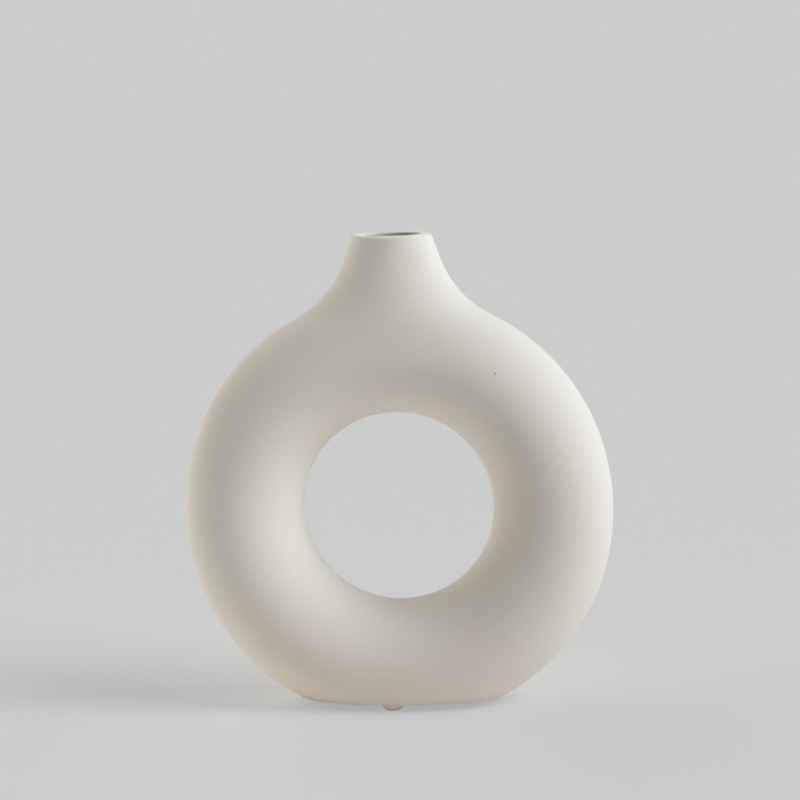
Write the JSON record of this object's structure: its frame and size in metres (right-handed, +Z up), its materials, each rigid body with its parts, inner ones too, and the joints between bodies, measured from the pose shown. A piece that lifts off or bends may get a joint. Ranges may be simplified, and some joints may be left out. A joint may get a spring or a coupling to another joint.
{
  "type": "donut vase",
  "caption": "Hollow ring-shaped ceramic vase with a short flared neck on top and a flat base on clear domed bumpers.",
  "frame": {"origin": "on the surface that the bumpers stand on, under the centre of the ring", "axes": "+Z up to the mouth, +X along the ring's width to its right, +Y through the ring's hole, away from the pictured face"},
  "size_m": [0.1886, 0.0542, 0.2076],
  "materials": {
    "bisque_ceramic": "matte",
    "clear_bumper": "satin",
    "adhesive_disc": "matte"
  },
  "bodies": {
    "root": {"vase_body": "bisque_ceramic", "bumper_front": "clear_bumper", "bumper_back": "clear_bumper", "bumper_left": "clear_bumper", "bumper_right": "clear_bumper", "adhesive_front": "adhesive_disc", "adhesive_back": "adhesive_disc", "adhesive_left": "adhesive_disc", "adhesive_right": "adhesive_disc"}
  },
  "joints": []
}
